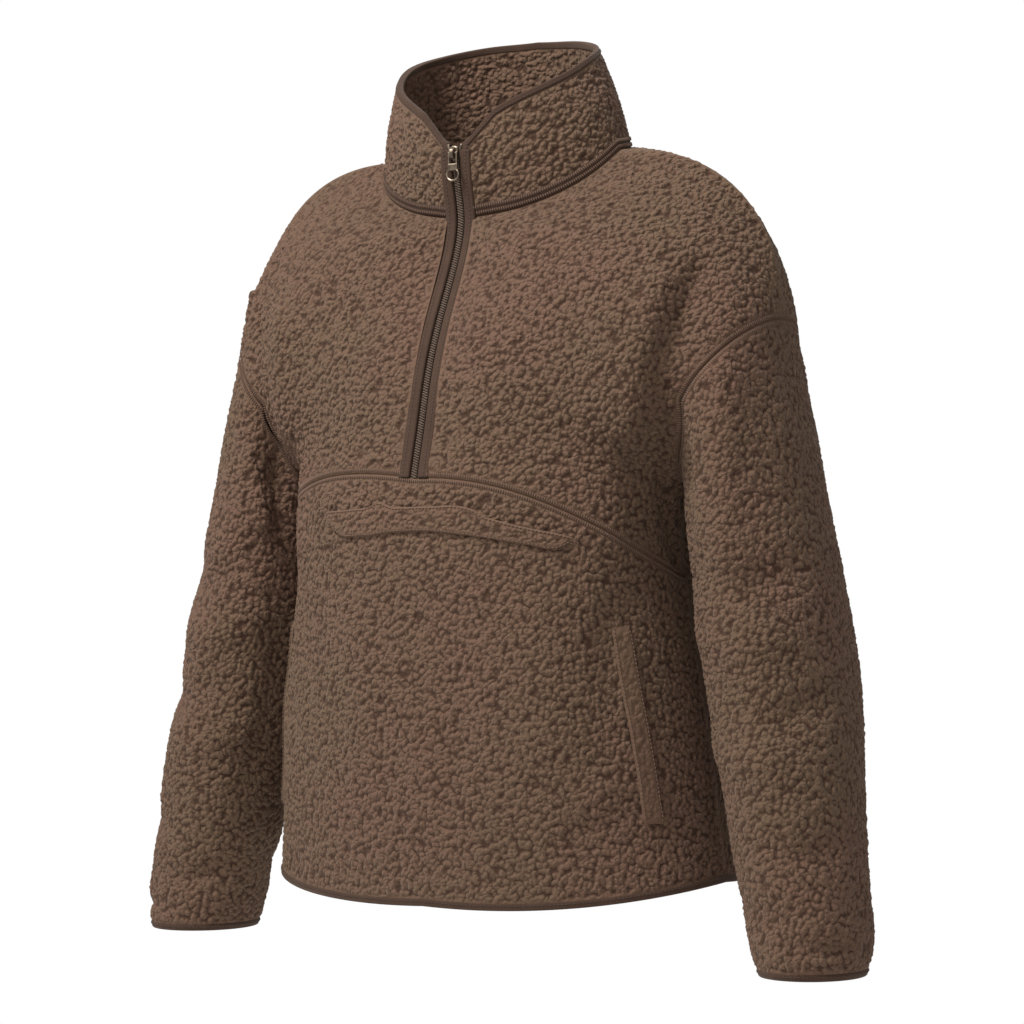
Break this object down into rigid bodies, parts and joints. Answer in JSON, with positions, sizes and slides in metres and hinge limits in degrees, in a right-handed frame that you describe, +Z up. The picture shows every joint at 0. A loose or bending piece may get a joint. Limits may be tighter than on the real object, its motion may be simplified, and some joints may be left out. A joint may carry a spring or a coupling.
{
  "type": "half-zip fleece pullover",
  "caption": "Half-zip pullover in curly pile fleece with a stand-up collar, a curved yoke seam, side pockets, dropped shoulders and narrow bound edges, filled out as worn.",
  "frame": {"origin": "on the middle line of the body, level with the points where the shoulder lines meet the collar, where the wearer's shoulders carry it", "axes": "+Z up, -Y towards the front, +X towards the wearer's left"},
  "size_m": [0.6756, 0.2904, 0.7583],
  "materials": {
    "fleece": "deep matte curly pile",
    "binding": "matte knit binding",
    "coil": "satin nylon coil",
    "zip_metal": "brushed light bronze plating"
  },
  "bodies": {
    "garment": {"back": "fleece", "lower_front": "fleece", "upper_front_left": "fleece", "upper_front_right": "fleece", "sleeve_left": "fleece", "sleeve_right": "fleece", "collar": "fleece", "collar_binding": "binding", "cuff_binding_left": "binding", "cuff_binding_right": "binding", "hem_binding": "binding", "neck_band": "binding", "pocket_welt_left": "fleece", "pocket_welt_right": "fleece", "pouch_welt": "fleece", "zip_binding_left": "binding", "zip_binding_right": "binding", "zip_tape": "binding", "zip_chain": "coil", "zip_slider": "zip_metal"},
    "zip_pull": {"zip_pull": "zip_metal"}
  },
  "joints": [
    {"name": "pull_swing", "type": "hinge", "parent": "garment", "child": "zip_pull", "pos_m": [0, -0.08123, -0.00374], "axis": [-1, 0, 0], "range_deg": [0, 150]}
  ]
}
